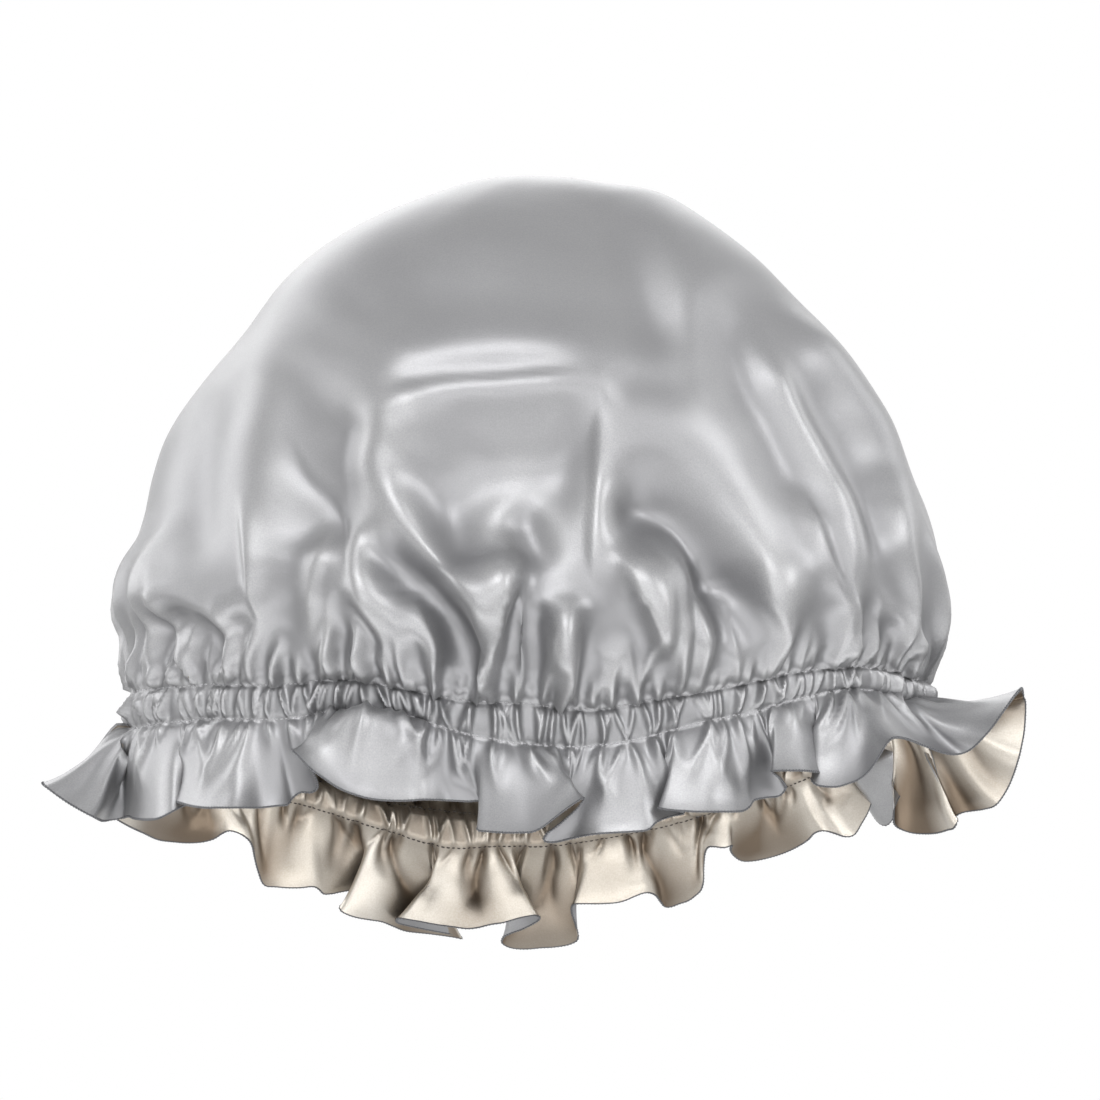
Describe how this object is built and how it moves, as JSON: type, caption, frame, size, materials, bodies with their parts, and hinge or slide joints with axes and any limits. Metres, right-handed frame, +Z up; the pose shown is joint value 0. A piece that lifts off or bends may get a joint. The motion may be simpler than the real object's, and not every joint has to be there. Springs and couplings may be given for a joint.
{
  "type": "hair bonnet",
  "caption": "Reversible gathered hair bonnet: a puffed satin crown over an elastic casing, with a flared ruffle below it and a contrasting lining.",
  "frame": {"origin": "centre of the head opening, midway between the four places where the middle of the casing crosses the X and Y directions", "axes": "+X towards the wearer's left side, which is the picture's right; -Y towards the brow, which faces the picture's camera; +Z up to the top of the crown"},
  "size_m": [0.2946, 0.1826, 0.2359],
  "materials": {
    "silver_satin": "silver-grey satin weave, smooth with a soft broad sheen",
    "champagne_satin": "champagne satin weave, smooth with a soft sheen",
    "braided_elastic": "white braided elastic, matte and ribbed along its length",
    "silver_thread": "twisted polyester sewing thread, light silver",
    "dark_thread": "twisted polyester sewing thread, dark brown",
    "grey_edging": "dark grey thread overcast on a narrow rolled hem, matte"
  },
  "bodies": {
    "root": {"outer_shell": "silver_satin", "lining_shell": "champagne_satin", "elastic_band": "braided_elastic", "elastic_lap_tack": "silver_thread", "upper_row_needle_thread": "silver_thread", "upper_row_bobbin_thread": "dark_thread", "lower_row_needle_thread": "silver_thread", "lower_row_bobbin_thread": "dark_thread", "hem_edging": "grey_edging"}
  },
  "joints": []
}
